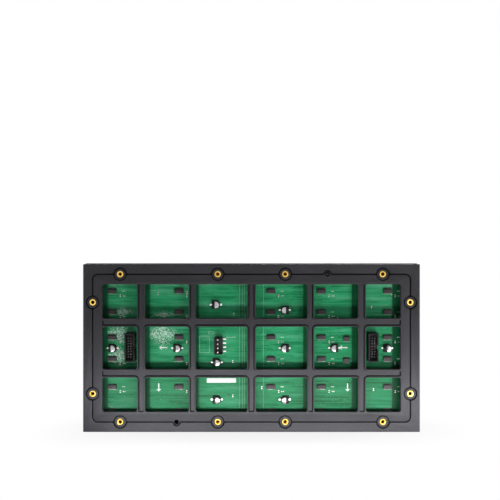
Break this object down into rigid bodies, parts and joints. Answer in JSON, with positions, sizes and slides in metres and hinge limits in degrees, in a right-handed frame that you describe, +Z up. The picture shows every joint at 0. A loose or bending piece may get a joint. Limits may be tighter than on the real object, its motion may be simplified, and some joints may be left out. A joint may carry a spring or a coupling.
{
  "type": "led display module",
  "caption": "Flat outdoor full-colour LED display module: a louvred face of small square lamps in front, a ribbed dark housing with brass inserts, green board and chips behind.",
  "frame": {"origin": "under the middle of the bottom edge of the display face, halfway between the visor tips and the rear face", "axes": "+X along the long edge, to the viewer's right in front of the display; -Y the way the display face looks; +Y the rear; +Z up"},
  "size_m": [0.32, 0.018, 0.16],
  "materials": {
    "mask_plastic": "matte",
    "lamp_white": "satin",
    "board_green": "satin",
    "housing_plastic": "satin",
    "insert_brass": "satin",
    "chip_black": "matte",
    "can_aluminium": "satin",
    "header_black": "satin",
    "tinned_metal": "satin",
    "label_white": "matte"
  },
  "bodies": {
    "root": {"face_mask": "mask_plastic", "led_lamps": "lamp_white", "circuit_board": "board_green", "rear_housing": "housing_plastic", "threaded_inserts": "insert_brass", "driver_chip_1_1": "chip_black", "driver_chip_1_2": "chip_black", "driver_chip_1_3": "chip_black", "driver_chip_1_4": "chip_black", "driver_chip_1_5": "chip_black", "driver_chip_2_1": "chip_black", "driver_chip_2_2": "chip_black", "driver_chip_2_3": "chip_black", "driver_chip_2_4": "chip_black", "driver_chip_2_5": "chip_black", "driver_chip_3_1": "chip_black", "driver_chip_3_2": "chip_black", "driver_chip_3_3": "chip_black", "driver_chip_3_4": "chip_black", "driver_chip_3_5": "chip_black", "driver_chip_4_1": "chip_black", "driver_chip_4_2": "chip_black", "driver_chip_4_3": "chip_black", "driver_chip_4_4": "chip_black", "driver_chip_4_5": "chip_black", "driver_chip_5_1": "chip_black", "driver_chip_5_2": "chip_black", "driver_chip_5_3": "chip_black", "driver_chip_5_4": "chip_black", "driver_chip_5_5": "chip_black", "driver_chip_6_1": "chip_black", "driver_chip_6_2": "chip_black", "driver_chip_6_3": "chip_black", "driver_chip_6_4": "chip_black", "driver_chip_6_5": "chip_black", "buffer_chip_1": "chip_black", "buffer_chip_2": "chip_black", "capacitor_01": "can_aluminium", "capacitor_02": "can_aluminium", "capacitor_03": "can_aluminium", "capacitor_04": "can_aluminium", "capacitor_05": "can_aluminium", "capacitor_06": "can_aluminium", "capacitor_07": "can_aluminium", "capacitor_08": "can_aluminium", "capacitor_09": "can_aluminium", "capacitor_10": "can_aluminium", "signal_header_left": "header_black", "signal_header_right": "header_black", "power_header": "header_black", "power_blades": "tinned_metal", "blank_label": "label_white"}
  },
  "joints": []
}
